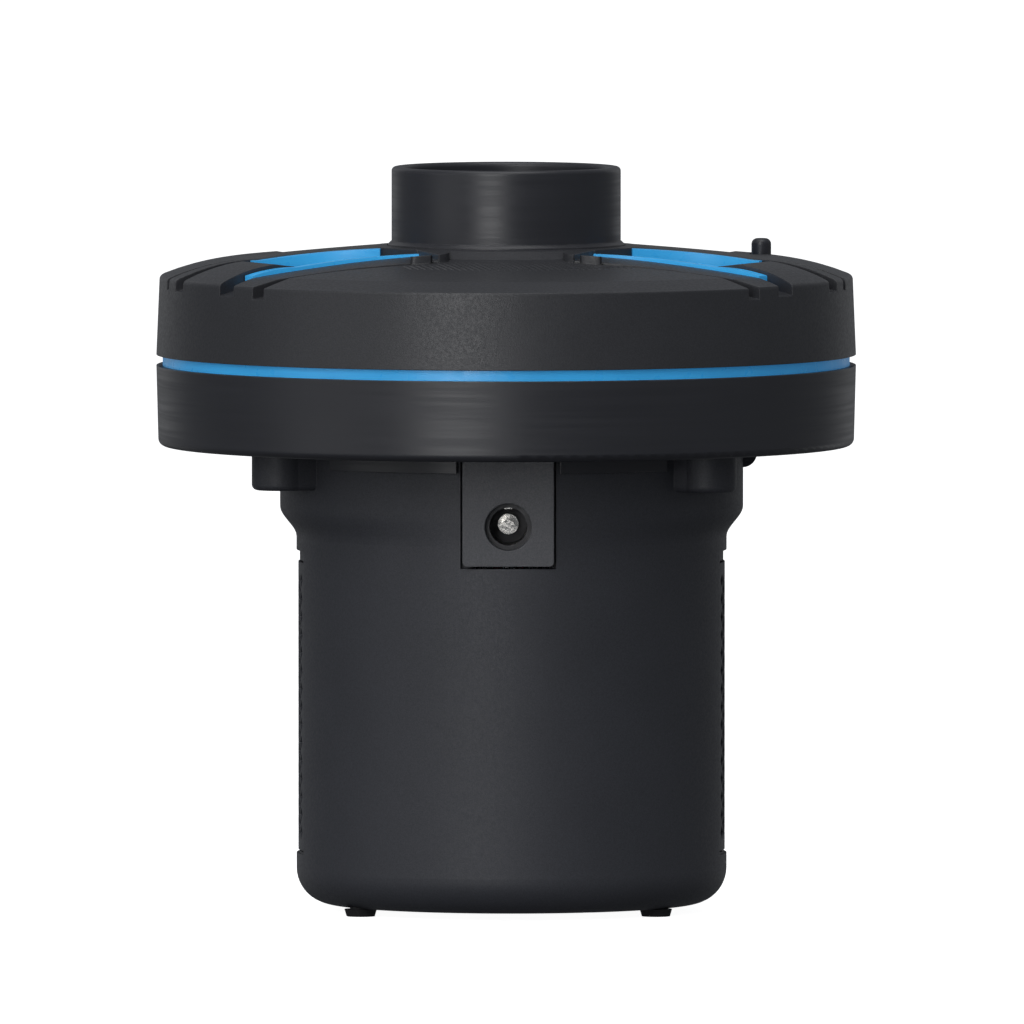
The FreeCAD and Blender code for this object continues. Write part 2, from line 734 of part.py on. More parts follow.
def dome_solid(lowered):
    """Everything under the dome's outside when it is lowered by a distance."""
    rim = mm(RIM)
    bottom = mm(COVER)
    shoulder = mm("shoulder_radius")
    edge = mm(RIM_RADIUS)
    middle = (shoulder + edge) / 2
    spots = [(0, dome_height(0)), (shoulder / 2, dome_height(shoulder / 2)), (shoulder, dome_height(shoulder)),
             (middle, dome_height(middle)), (edge, 0)]
    points = [Vector(across, 0, rim + up - lowered) for across, up in spots]
    edges = [Part.Arc(*points[0:3]).toShape(), Part.Arc(*points[2:5]).toShape()]
    corners = [points[4], Vector(edge, 0, bottom), Vector(0, 0, bottom), points[0]]
    for start, end in zip(corners, corners[1:]):
        edges.append(Part.makeLine(start, end))
    return Part.Face(Part.Wire(edges)).revolve(Vector(), Vector(0, 0, 1), 360)


def space_above(drops):
    """Everything above a surface that lies below the dome's outside by a drop given at each distance."""
    top = mm(CROWN) + 5
    places = sorted(drops)
    points = [Vector(radius, 0, mm(RIM) + dome_height(radius) - drop) for radius, drop in places]
    corners = points + [Vector(places[-1][0], 0, top), Vector(places[0][0], 0, top)]
    face = Part.Face(Part.makePolygon(corners + corners[:1]))
    return face.revolve(Vector(), Vector(0, 0, 1), 360)


def curve(points):
    """A smooth edge through plan points."""
    if len(points) == 2:
        return Part.makeLine(points[0], points[1])
    line = Part.BSplineCurve()
    line.interpolate(points)
    return line.toShape()


def upright(*runs):
    """A prism through the whole cover on a closed plan outline: smooth runs of points joined by lines."""
    edges = []
    for run, following in zip(runs, runs[1:] + runs[:1]):
        edges.append(curve(run))
        if run[-1].distanceToPoint(following[0]) > 1e-6:
            edges.append(Part.makeLine(run[-1], following[0]))
    return Part.Face(Part.Wire(edges)).extrude(Vector(0, 0, 60)).translated(Vector(0, 0, mm(COVER) - 20))


def ribbon(points, widths):
    """A prism on the plan outline of a channel that follows points with a width at each."""
    left = []
    right = []
    for number, point in enumerate(points):
        before = points[max(number - 1, 0)]
        after = points[min(number + 1, len(points) - 1)]
        along = (after - before).normalize()
        across = Vector(-along.y, along.x, 0) * (widths[number] / 2)
        left.append(point + across)
        right.append(point - across)
    return upright(left, right[::-1])


def in_all_quarters(shape):
    """The shape of the left front quarter, with its mirror images in the other three."""
    across = shape.mirror(Vector(), Vector(1, 0, 0))
    pair = [("left_front", shape), ("right_front", across)]
    back = [(name.replace("front", "back"), part.mirror(Vector(), Vector(0, 1, 0))) for name, part in pair]
    return pair + back


# Plan of the arms in the left front quarter: (distance from the axis, degrees from -X towards the front)
# along each channel, with its width there. Each channel runs out beyond the rim.
OUT = "head_radius + 1.7"
LONG_CHANNEL = [((22.4, 49.5), 0.8), ((31.6, 36.8), 1.2), ((42.2, 34.4), 1.9), ((52.0, 34.9), 2.6),
                ((OUT, 37.6), 4.2)]
SHORT_CHANNEL = [((22.4, 21.0), 2.0), ((31.0, 12.0), 2.3), ((43.6, 14.0), 1.9), ((51.0, 17.6), 2.6),
                 ((OUT, 20.2), 4.2)]
SIDE_GROOVE = [((26.0, 5.5), 0.8), ((50.0, 11.8), 1.0), ((OUT, 13.7), 1.8)]
FIELD_EDGE = [((27.5, 66.0), 0.6), ((33.0, 54.0), 0.8), ((40.0, 47.5), 1.0), ((48.5, 44.9), 1.5),
              ((OUT, 44.8), 3.0)]
LONG_INLAY_END = 4
SHORT_INLAY_END = 3


def plan_point(place):
    distance, angle = place
    return polar(mm(distance), 180 + angle)


def channel(path, shrink=0.0, upto=None):
    chosen = path[:upto] if upto else path
    return ribbon([plan_point(place) for place, width in chosen], [width - shrink for place, width in chosen])


def middle_line(path):
    return [plan_point(place) for place, width in path]


def channel_space():
    """Everything above the floor of the deep channels, which rises a little towards the rim."""
    shoulder = mm("shoulder_radius")
    depth = mm("channel_depth")
    return space_above([(mm(NOZZLE_FOOT), depth), (shoulder + 3.5, depth),
                        (mm("head_radius") + 4, mm("notch_depth"))])


def inlay(path, upto, sink):
    """A strip that lies in a channel, its top below the cover's outside by a named size."""
    strip = channel(path, 2 * mm("fit_gap"), upto)
    return strip.common(dome_solid(mm(sink))).common(channel_space()).Solids[0]


def terraces():
    """The spaces cut from the left front quarter of the dome: two between the arms, channels and grooves."""
    pocket = mm("pocket_drop")
    ledge = mm("ledge_drop")
    ridge = mm("ridge_drop")
    rim_drop = mm("rim_drop")
    near = mm(NOZZLE_FOOT)
    far = mm("head_radius") + 4
    shoulder = mm("shoulder_radius")
    behind = upright(middle_line(SHORT_CHANNEL), middle_line(LONG_CHANNEL)[::-1])
    between = upright(middle_line(LONG_CHANNEL), middle_line(FIELD_EDGE)[::-1])
    wedge = space_above([(near, pocket), (shoulder - 4, pocket), (shoulder - 3, ledge), (shoulder + 3.5, 0),
                         (shoulder + 8, -0.6)])
    slope = space_above([(near, ridge), (shoulder + 10, ridge), (far - 4.5, rim_drop / 2),
                         (far, rim_drop / 2)])
    deep = channel_space()
    shallow = space_above([(near, mm("groove_depth")), (far, mm("groove_depth") / 2)])
    edge = space_above([(near, mm("pocket_drop")), (far, mm("notch_depth"))])
    return [behind.common(wedge), between.common(slope), channel(LONG_CHANNEL).common(deep),
            channel(SHORT_CHANNEL).common(deep), channel(SIDE_GROOVE).common(shallow),
            channel(FIELD_EDGE).common(edge)]


def front_field():
    """The lowered field between the arms at the front, with a slope up to the outlet's foot."""
    inner = mm(NOZZLE_FOOT)
    left = [polar(inner, 180 + 56)] + middle_line(FIELD_EDGE)
    right = [Vector(-point.x, point.y, 0) for point in left]
    far = mm("head_radius") + 4
    deep = mm("field_drop")
    shoulder = mm("shoulder_radius")
    floor = space_above([(inner, -0.3), (inner + 1.8, 0.1), (inner + 4.2, deep), (inner + 6, deep + 0.2),
                         (shoulder - 3, deep), (shoulder + 9, deep * 0.7), (far - 4.5, mm("rim_drop")),
                         (far, mm("rim_drop"))])
    corners = [Vector(-far, -far, 0), Vector(far, -far, 0)]
    return upright(left, corners, right[::-1]).common(floor)


def cover_blank():
    """The cover's outside as one solid, its rim rounded."""
    rim_radius = mm(RIM_RADIUS)
    skirt = Part.makeCone(mm("head_radius"), rim_radius, mm("cover_wall_height"), Vector(0, 0, mm(COVER)))
    blank = dome_solid(0).fuse(skirt).removeSplitter()
    corner = [edge for edge in blank.Edges if is_circle(edge)
              and abs(edge.Curve.Radius - rim_radius) < 0.05 and abs(edge.Curve.Center.z - mm(RIM)) < 0.05]
    return blank.makeFillet(mm("rim_edge_radius"), corner)


def knob_slot():
    half = mm("knob_radius") + mm("knob_gap")
    travel = mm("knob_travel")
    x = mm("knob_x")
    y = mm("knob_y")
    bottom = mm(COVER)
    ends = [Part.makeCylinder(half, 40, Vector(x, y + along, bottom)) for along in (0, travel)]
    return ends + [Part.makeBox(2 * half, travel, 40, Vector(x - half, y, bottom))]


def top_cover():
    bottom = mm(COVER)
    outside = cover_blank()
    inner_radius = mm(HEAD_INNER)
    hollow = dome_solid(mm("cover_top_wall")).common(
        Part.makeCylinder(inner_radius, 60, Vector(0, 0, bottom - 10)))
    shell = outside.cut(hollow)
    below = mm("post_overlap")
    reach = outside.fuse(Part.makeCylinder(mm(HEAD_INNER), 5, Vector(0, 0, bottom - 5)))
    for x, y in cover_screw_places():
        post = Part.makeCylinder(mm("screw_post_radius"), mm("cover_wall_height") + 1,
                                 Vector(mm(x), mm(y), bottom - below))
        shell = shell.fuse(post.common(reach))
        shell = shell.cut(Part.makeCylinder(mm("screw_core_radius"), mm("cover_screw_length"),
                                            Vector(mm(x), mm(y), bottom - 6)))
    cuts = [part for space in terraces() for name, part in in_all_quarters(space)]
    front = front_field()
    cuts += [front, front.mirror(Vector(), Vector(0, 1, 0))]
    foot_radius = mm(NOZZLE_FOOT)
    mouth = Part.makeCylinder(mm("nozzle_radius") + mm("fit_gap"), 40, Vector(0, 0, bottom))
    foot = Part.makeCylinder(foot_radius + mm("fit_gap"), 40,
                             Vector(0, 0, mm(RIM) + dome_height(foot_radius) - mm("cover_top_wall") / 2))
    cuts += [mouth, foot] + knob_slot()
    for piece in cuts:
        shell = shell.cut(piece)
    node(shaped("top_cover", shell.removeSplitter()), "top_cover")


def inlays():
    kinds = [("long", LONG_CHANNEL, LONG_INLAY_END, "long_inlay_sink"),
             ("short", SHORT_CHANNEL, SHORT_INLAY_END, "inlay_sink")]
    for kind, path, upto, sink in kinds:
        for quarter, strip in in_all_quarters(inlay(path, upto, sink)):
            name = f"{kind}_inlay_{quarter}"
            node(shaped(name, strip), name)


def nozzle():
    """The outlet: a straight tube whose foot sits in the cover, with a seat for the finger guard at its root."""
    foot = mm(NOZZLE_FOOT)
    surface = mm(RIM) + dome_height(foot)
    low = surface - mm("cover_top_wall") / 2
    bottom = low - mm("cover_top_wall") / 2
    foot_top = surface + mm("nozzle_foot_height")
    top = mm(RIM) + mm("nozzle_height")
    outer = mm("nozzle_radius")
    bore = mm(NOZZLE_BORE)
    seat = bore + mm("guard_seat_wall")
    seat_top = bottom + mm("guard_thickness") + mm("guard_seat_gap")
    bevel = mm("nozzle_foot_height") * 0.7
    outline = [(seat, bottom), (outer, bottom), (outer, low), (foot, low), (foot, foot_top - bevel),
               (foot - bevel, foot_top), (outer, foot_top), (outer, top), (bore, top), (bore, seat_top),
               (seat, seat_top)]
    wire = Part.makePolygon([Vector(across, 0, up) for across, up in outline + outline[:1]])
    shape = Part.Face(wire).revolve(Vector(), Vector(0, 0, 1), 360)
    rounded = [edge for edge in shape.Edges if is_circle(edge)
               and abs(edge.Curve.Center.z - top) < 0.01]
    shape = shape.makeFillet(mm("nozzle_rim_radius"), rounded)
    node(shaped("outlet_nozzle", shape), "outlet_nozzle")
    guard(seat - mm("fit_gap"), bottom)


def guard(outer, bottom):
    """A spoked disc that keeps fingers out of the outlet."""
    thickness = mm("guard_thickness")
    bar = mm("guard_bar")
    ring_wall = mm("guard_ring_wall")
    hub_radius = mm("guard_hub_radius")
    ring = Part.makeCylinder(outer, thickness, Vector(0, 0, bottom))
    ring = ring.cut(Part.makeCylinder(outer - ring_wall, thickness, Vector(0, 0, bottom)))
    shape = ring.fuse(Part.makeCylinder(hub_radius, thickness, Vector(0, 0, bottom)))
    for number in range(6):
        spoke = Part.makeBox(outer - ring_wall / 2, bar, thickness, Vector(0, -bar / 2, bottom))
        spoke.rotate(Vector(), Vector(0, 0, 1), 60 * number)
        shape = shape.fuse(spoke)
    middle = (outer + hub_radius) / 2
    hoop = Part.makeCylinder(middle + bar / 2, thickness, Vector(0, 0, bottom))
    hoop = hoop.cut(Part.makeCylinder(middle - bar / 2, thickness, Vector(0, 0, bottom)))
    node(shaped("outlet_guard", shape.fuse(hoop).removeSplitter()), "outlet_guard")


# ---------------------------------------------------------------------------------------------------
# Motor: the still parts
# ---------------------------------------------------------------------------------------------------
def motor_places():
    return ("motor_screw_circle", "-motor_screw_circle")


def motor_case():
    inner = "(motor_radius - motor_wall)"
    nose_top = "motor_length + motor_nose_height"
    can = turned("motor_can_turning", [
        ("motor_radius", "0"), ("motor_radius", "motor_length"), ("motor_nose_radius", "motor_length"),
        ("motor_nose_radius", nose_top), ("bush_radius", nose_top),
        ("bush_radius", "motor_length - motor_wall"), (inner, "motor_length - motor_wall"), (inner, "0")])
    round_circles(can, "motor_wall / 2", [("motor_radius", "motor_length")])
    move(can, z=MOTOR_BACK)
    holes = [cylinder(f"can_hole_{number}", "screw_core_radius", "4", x, "0", f"{MOTOR_FACE} - 2")
             for number, x in enumerate(motor_places())]
    node(cut("motor_can", can, holes), "motor_can")

    rim = "(end_cap_height / 2)"
    cap = turned("end_cap_turning", [
        ("bush_radius", f"-{rim}"), ("motor_radius", f"-{rim}"), ("motor_radius", "0"),
        (f"{inner} - 0.05", "0"), (f"{inner} - 0.05", rim), (f"{inner} - 3", rim),
        (f"{inner} - 3", "0"), ("bush_radius", "0")])
    move(cap, z=MOTOR_BACK)
    node(cap, "motor_end_cap")

    bore = "shaft_radius + running_clearance"
    node(tube("upper_bush", "bush_radius", bore, "bush_length", "0", "0",
              f"{MOTOR_FACE} + motor_nose_height - 0.2 - bush_length"), "upper_bush")
    node(tube("lower_bush", "bush_radius", bore, "bush_length", "0", "0",
              f"{MOTOR_BACK} - bush_length / 2 - 0.4"), "lower_bush")

    magnets = []
    for side in (0, 1):
        arc = doc.addObject("Part::Cylinder", f"magnet_arc_{side}")
        bind(arc, Radius=f"{inner} - 0.05", Height="magnet_length", Angle="magnet_angle")
        turn_about_z(arc, f"{90 + 180 * side} - magnet_angle / 2")
        magnets.append(move(arc, z=f"{MOTOR_BACK} + 6.5"))
    core = cylinder("magnet_hollow", f"{inner} - magnet_thickness", "motor_length", "0", "0", MOTOR_BACK)
    node(cut("motor_magnets", fuse("magnet_arcs", magnets), [core]), "motor_magnets")

    start = "(commutator_radius + brush_gap)"
    brushes = [box(f"brush_{side + 1}", "brush_length", "brush_width", "brush_width",
                   f"{side} * ({start} + brush_length / 2)", "0", f"{MOTOR_BACK} + 2.9")
               for side in (-1, 1)]
    node(fuse("brushes_pair", brushes), "motor_brushes")
    blades = [box(f"terminal_{side + 1}", "2.8", "0.6", "6", "0", f"{side} * ({BOARD_SIDE} / 2 - 1)",
                  f"{MOTOR_BACK} - {rim} - 6") for side in (-1, 1)]
    node(fuse("terminal_pair", blades), "motor_terminals")


def motor_mount():
    """A three-armed plate that hangs the motor under the head and leaves room for the air."""
    hub = cylinder("mount_hub", "mount_hub_radius", "mount_thickness", "0", "0", MOTOR_FACE)
    solids = [hub]
    for number in range(3):
        angle = 90 + 120 * number
        arm = doc.addObject("Part::Box", f"mount_arm_{number}")
        bind(arm, Length="mount_reach", Width="mount_arm_width", Height="mount_thickness")
        foot = doc.addObject("Part::Box", f"mount_foot_{number}")
        bind(foot, Length="mount_arm_width", Width="mount_arm_width", Height="motor_below_head")
        for piece, start in ((arm, "0"), (foot, "(mount_reach - mount_arm_width)")):
            turn = f"{angle} * 1deg"
            turn_about_z(piece, angle)
            move(piece, f"{start} * cos({turn}) + mount_arm_width / 2 * sin({turn})",
                 f"{start} * sin({turn}) - mount_arm_width / 2 * cos({turn})", MOTOR_FACE)
            solids.append(piece)
    holes = [cylinder("mount_nose_hole", "motor_nose_radius + fit_gap", "mount_thickness + 2",
                      "0", "0", f"{MOTOR_FACE} - 1")]
    screws = []
    for number, x in enumerate(motor_places()):
        holes.append(cylinder(f"mount_hole_{number}", "screw_radius", "mount_thickness + 2", x, "0",
                              f"{MOTOR_FACE} - 1"))
        shank = cylinder(f"motor_shank_{number}", "screw_core_radius - 0.02", "mount_thickness + 3", x, "0",
                         f"{MOTOR_FACE} - 1.5")
        head = cylinder(f"motor_head_{number}", "screw_head_radius", "screw_head_height / 2", x, "0",
                        f"{MOTOR_FACE} + mount_thickness")
        screws += [shank, head]
    node(cut("motor_mount", fuse("mount_solids", solids), holes), "motor_mount")
    node(fuse("motor_screw_pair", screws), "motor_screws")


# ---------------------------------------------------------------------------------------------------
# Rotor: shaft, armature and impeller turn together about Z
# ---------------------------------------------------------------------------------------------------
CORE = f"({MOTOR_BACK} + 9)"
CORE_RADIUS = "(motor_radius - motor_wall - magnet_thickness - air_gap)"


def armature():
    bottom = f"({MOTOR_BACK} - bush_length / 2)"
    node(cylinder("motor_shaft", "shaft_radius", f"{IMPELLER_TOP} + shaft_stub - {bottom}", "0", "0", bottom),
         "motor_shaft")
    core = tube("core_drum", CORE_RADIUS, "shaft_radius", "core_length", "0", "0", CORE)
    coils = []
    slots = []
    for number in range(int(SIZES["slot_count"])):
        turn = f"{number} * 360 / slot_count"
        for kind, start, width, low, tall, group in (
                ("slot", "core_hub_radius", "slot_width", f"{CORE} - 1", "core_length + 2", slots),
                ("coil", "(core_hub_radius + 0.4)", "(slot_width - 0.1)", f"{CORE} - winding_overhang",
                 "core_length + 2 * winding_overhang", coils)):
            bar = doc.addObject("Part::Box", f"{kind}_{number}")
            reach = CORE_RADIUS if kind == "slot" else f"({CORE_RADIUS} - core_hub_radius - 1.6)"
            bind(bar, Length=reach, Width=width, Height=tall)
            turn_about_z(bar, turn)
            angle = f"({turn}) * 1deg"
            move(bar, f"{start} * cos({angle}) + {width} / 2 * sin({angle})",
                 f"{start} * sin({angle}) - {width} / 2 * cos({angle})", low)
            group.append(bar)
    node(cut("armature_core", core, slots), "armature_core")
    ends = [tube(f"coil_end_{number}", f"{CORE_RADIUS} - 1.2", "core_hub_radius + 0.4", "winding_overhang",
                 "0", "0", low)
            for number, low in enumerate((f"{CORE} - winding_overhang", f"{CORE} + core_length"))]
    node(fuse("windings", coils + ends), "armature_windings")
    node(tube("commutator", "commutator_radius", "shaft_radius", "commutator_length", "0", "0",
              f"{MOTOR_BACK} + 2.4"), "commutator")


def blade_face(height, root, tip, radius, thickness):
    """The plan of one backward-curved blade: a thin band along an arc from root to tip."""
    lean = math.radians(38)
    start = Vector(root, 0, height)
    end = Vector(tip * math.cos(lean), tip * math.sin(lean), height)
    middle = (start + end) * 0.5
    chord = end - start
    normal = Vector(-chord.y, chord.x, 0).normalize()
    sag = radius - math.sqrt(radius ** 2 - (chord.Length / 2) ** 2)
    outer = Part.Arc(start, middle - normal * sag, end)
    inner_shift = normal * thickness
    inner = Part.Arc(start + inner_shift, middle - normal * sag + inner_shift, end + inner_shift)
    edges = [outer.toShape(), Part.makeLine(end, end + inner_shift), inner.toShape(),
             Part.makeLine(start + inner_shift, start)]
    return Part.Face(Part.Wire(Part.sortEdges(edges)[0]))


def impeller():
    low = mm(IMPELLER)
    disc = mm("impeller_disc")
    height = mm("impeller_height")
    radius = mm("impeller_radius")
    insert = mm("insert_radius")
    shroud = Part.makeCylinder(radius, disc, Vector(0, 0, low))
    shroud = shroud.cut(Part.makeCylinder(mm("blade_root_radius"), disc + 2, Vector(0, 0, low - 1)))
    plate = Part.makeCylinder(radius, disc, Vector(0, 0, low + height - disc))
    hub = Part.makeCone(mm("impeller_hub_radius"), mm("impeller_hub_radius") + 2, height - 3,
                        Vector(0, 0, low + 3))
    wheel = plate.fuse(hub)
    face = blade_face(low + disc, mm("blade_root_radius") + 0.8, radius - 1.5, mm("blade_arc_radius"),
                      mm("blade_thickness"))
    blade = face.extrude(Vector(0, 0, height - 2 * disc))
    count = int(mm("blade_count"))
    blades = [blade.rotated(Vector(), Vector(0, 0, 1), 360 / count * number) for number in range(count)]
    wheel = wheel.fuse([shroud] + blades)
    wheel = wheel.cut(Part.makeCylinder(insert, height + 4, Vector(0, 0, low - 2))).removeSplitter()
    node(shaped("impeller", wheel), "impeller")
    node(tube("impeller_insert", "insert_radius", "shaft_radius", "impeller_height - 3", "0", "0",
              f"{IMPELLER} + 3"), "impeller_insert")
    node(tube("shaft_clip", "clip_radius", "shaft_radius", "clip_height", "0", "0", IMPELLER_TOP),
         "shaft_clip")


# ---------------------------------------------------------------------------------------------------
# Return vanes: bring the air back from the rim to the outlet
# ---------------------------------------------------------------------------------------------------
def return_vanes():
    body = doc.addObject("PartDesign::Body", "return_vanes")
    ring = new_sketch(body, "vane_plate_outline", "XY_Plane")
    for radius in ("vane_plate_radius", "vane_plate_hole"):
        circle = ring.addGeometry(Part.Circle(Vector(), Vector(0, 0, 1), mm(radius)), False)
        ring.addConstraint(Sketcher.Constraint("Coincident", circle, 3, -1, 1))
        place = ring.addConstraint(Sketcher.Constraint("Radius", circle, mm(radius)))
        ring.setExpression(f"Constraints[{place}]", in_sheet(radius))
    plate = body.newObject("PartDesign::Pad", "vane_plate")
    plate.Profile = ring
    bind(plate, Length="vane_plate_thickness")
    doc.recompute()
    outline = new_sketch(body, "vane_outline", "XY_Plane")
    root = "(vane_plate_hole + 2)"
    tip = "(vane_plate_radius - 1)"
    draw_outline(outline, [
        (root, "0"), (f"{tip} * cos(30deg)", f"{tip} * sin(30deg)"),
        (f"{tip} * cos(30deg) - vane_thickness", f"{tip} * sin(30deg) + vane_thickness / 2"),
        (root, "vane_thickness")])
    vane = body.newObject("PartDesign::Pad", "vane")
    vane.Profile = outline
    bind(vane, Length="vane_plate_thickness + vane_height")
    doc.recompute()
    ring_of_vanes = body.newObject("PartDesign::PolarPattern", "vane_pattern")
    ring_of_vanes.Originals = [vane]
    ring_of_vanes.Axis = (outline, ["N_Axis"])
    ring_of_vanes.Angle = 360
    bind(ring_of_vanes, Occurrences="vane_count")
    body.Tip = ring_of_vanes
    move(body, z=VANE_PLATE)
    node(body, "return_vanes")


# ---------------------------------------------------------------------------------------------------
# Cells, their tray and clamp, the circuit board
# ---------------------------------------------------------------------------------------------------
def cell_places():
    for number in range(4):
        angle = f"({45 + 90 * number} * 1deg)"
        yield f"{CELL_CIRCLE} * cos{angle}", f"{CELL_CIRCLE} * sin{angle}"


def cells():
    tray_low = "(foot_height + grip_floor)"
    inside = f"({GRIP_INNER} - 2 * fit_gap)"
    floor = cylinder("tray_plate", inside, "tray_floor", "grip_offset", "0", tray_low)
    centre = cylinder("tray_post", "4", "board_height", "0", "0", tray_low)
    cups = []
    hollows = []
    for number, (x, y) in enumerate(cell_places(), start=1):
        cup = cylinder(f"cup_{number}", "cell_radius + fit_gap + tray_wall", "tray_floor + tray_height",
                       x, y, tray_low)
        cups.append(cup)
        hollows.append(cylinder(f"cup_hollow_{number}", "cell_radius + fit_gap", "tray_height + 1",
                                x, y, f"{tray_low} + tray_floor"))
        rod = cylinder(f"cell_rod_{number}", "cell_radius", "cell_length", x, y, CELL_FLOOR)
        node(rod, f"battery_cell_{number}")
    corner = "grip_inner_corner"
    limit = turned("tray_limit", [
        ("0", "0"), (f"{inside} - {corner}", "0"), (inside, corner), (inside, "60"), ("0", "60")])
    move(limit, "grip_offset", "0", tray_low)
    solids = doc.addObject("Part::MultiCommon", "tray_solids")
    solids.Shapes = [fuse("tray_all", [floor, centre] + cups), limit]
    links = []
    far = f"{CELL_CIRCLE} * cos(45deg)"
    for side in (-1, 1):
        links.append(box(f"low_link_{side + 1}", "link_width", f"2 * ({far})", "link_thickness",
                         f"{side} * ({far})", "0", f"{CELL_FLOOR} - link_thickness"))
        links.append(box(f"high_link_{side + 1}", f"2 * ({far})", "link_width", "link_thickness", "0",
                         f"{side} * ({far} + 2)", CELL_TOP))
        hollows.append(box(f"link_path_{side + 1}", "link_width + 2 * fit_gap", f"2 * ({far})",
                           "link_thickness + fit_gap", f"{side} * ({far})", "0",
                           f"{CELL_FLOOR} - link_thickness"))
    node(cut("cell_tray", solids, hollows), "cell_tray")
    node(fuse("link_set", links), "cell_links")

    clamp_low = f"({CELL_TOP} + link_thickness)"
    plate = cylinder("clamp_plate", inside, "clamp_thickness", "grip_offset", "0", clamp_low)
    holes = [cylinder("clamp_hole", "motor_radius + 1.5", "clamp_thickness + 2", "0", "0",
                      f"{clamp_low} - 1")]
    for number, (x, y) in enumerate((("20", "0"), ("-20", "0"), ("0", "20"), ("0", "-20"))):
        holes.append(box(f"clamp_window_{number}", "16", "16", "clamp_thickness + 2", x, y,
                         f"{clamp_low} - 1"))
    node(cut("cell_clamp", plate, holes), "cell_clamp")


def circuit_board():
    board_low = "(foot_height + grip_floor + board_height)"
    node(box("board_plate", BOARD_SIDE, BOARD_SIDE, "board_thickness", "0", "0", board_low),
         "circuit_board")
    top = f"({board_low} + board_thickness)"
    chips = [box("charge_chip", "5", "4", "1.2", "-2", "-4", top), box("power_switch_chip", "6", "6", "2.2",
             "3", "2.5", top), cylinder("smoothing_capacitor", "2.5", "5", "-5.5", "3.5", top)]
    node(fuse("board_chips", chips), "board_components")


# ---------------------------------------------------------------------------------------------------
# Slide switch
# ---------------------------------------------------------------------------------------------------
def slide_switch():
    rest_x = mm("knob_x")
    rest_y = mm("knob_y")
    travel = mm("knob_travel")
    half_wide = mm("slider_width") / 2
    half_long = mm("slider_length") / 2
    far = math.hypot(rest_x + half_wide, rest_y + travel + half_long)
    gap = mm("knob_gap")
    slider_top = mm(RIM) + dome_height(far) - mm("cover_top_wall") - gap
    thick = mm("slider_thickness")
    slider = Part.makeBox(2 * half_wide, 2 * half_long, thick,
                          Vector(rest_x - half_wide, rest_y - half_long, slider_top - thick))
    top = mm(RIM) + dome_height(mm(KNOB_RADIUS_AT_REST)) + mm("knob_proud")
    stem = Part.makeCylinder(mm("knob_radius"), top - slider_top + 0.2, Vector(rest_x, rest_y, slider_top - 0.2))
    crown = [edge for edge in stem.Edges if is_circle(edge) and abs(edge.Curve.Center.z - top) < 0.01]
    stem = stem.makeFillet(mm("knob_radius") * 0.6, crown)
    node(shaped("switch_knob", slider.fuse(stem)), "switch_knob")

    wall = mm("switch_wall")
    height = mm("switch_height")
    long_side = 2 * half_long + travel + 2 * gap
    wide_side = 2 * half_wide + 2 * gap
    outer = Part.makeBox(wide_side + 2 * wall, long_side + 2 * wall, height,
                         Vector(rest_x - wide_side / 2 - wall, rest_y - half_long - gap - wall,
                                slider_top - gap - height))
    tray = Part.makeBox(wide_side, long_side, 10, Vector(rest_x - wide_side / 2, rest_y - half_long - gap,
                                                         slider_top - thick - gap))
    node(shaped("switch_housing", outer.cut(tray)), "switch_housing")


# ---------------------------------------------------------------------------------------------------
# Leads: straight runs joined by arcs
# ---------------------------------------------------------------------------------------------------
def lead(points, radius, bend):
    edges = []
    start = points[0]
    for before, corner, after in zip(points, points[1:], points[2:]):
        back = (before - corner).normalize()
        ahead = (after - corner).normalize()
        half_turn = (math.pi - back.getAngle(ahead)) / 2
        trim = bend * math.tan(half_turn)
        enter = corner + back * trim
        leave = corner + ahead * trim
        centre_way = (back + ahead).normalize()
        middle = corner + centre_way * (bend / math.cos(half_turn) - bend)
        edges.append(Part.makeLine(start, enter))
        edges.append(Part.Arc(enter, middle, leave).toShape())
        start = leave
    edges.append(Part.makeLine(start, points[-1]))
    path = Part.Wire(edges)
    section = Part.Wire([Part.makeCircle(radius, points[0], points[1] - points[0])])
    return path.makePipeShell([section], True, True)


def leads():
    radius = mm("lead_radius")
    bend = 2.5
    board_low = mm("foot_height + grip_floor + board_height")
    board_top = board_low + mm("board_thickness")
    board_mid = board_low + mm("board_thickness") / 2
    edge = mm(BOARD_SIDE) / 2
    terminal = mm(MOTOR_BACK) - mm("end_cap_height") / 2 - 6
    motor = [Part.makeCylinder(radius, terminal - board_top, Vector(0, side * (edge - 1), board_top))
             for side in (-1, 1)]
    node(copies("motor_leads", motor), "motor_leads")
    jack_back = -mm(PLATE_FACE) + mm("plate_thickness + jack_depth")
    jack = []
    for x in (mm("socket_offset") - 2, mm("socket_offset") + 2):
        height = mm(SOCKET) - 3
        run = jack_back + 4.5
        route = [Vector(x, jack_back, height), Vector(x, run, height), Vector(x, run, board_mid),
                 Vector(x, -edge, board_mid)]
        jack.append(lead(route, radius, bend))
    node(copies("jack_leads", jack), "jack_leads")
    battery = []
    for side in (-1, 1):
        route = [Vector(14.2 * side, -5 * side, mm(CELL_FLOOR)), Vector(14.2 * side, -5 * side, board_mid),
                 Vector(edge * side, -5 * side, board_mid)]
        battery.append(lead(route, radius, bend))
    node(copies("battery_leads", battery), "battery_leads")
    switch_side = mm("knob_x + slider_width / 2 + knob_gap + switch_wall")
    switch_y = mm("knob_y + 1")
    switch_z = mm(RIM) - 4.2
    under = mm(IMPELLER) - 1.5
    down_x = switch_side + 3.2
    inner_x = mm("eye_radius") - 2.6
    route = [Vector(switch_side, switch_y, switch_z), Vector(down_x, switch_y, switch_z),
             Vector(down_x, switch_y, under), Vector(inner_x, 6, under), Vector(inner_x, 6, board_mid),
             Vector(edge, 6, board_mid)]
    node(shaped("switch_lead", lead(route, radius, bend / 1.25)), "switch_lead")


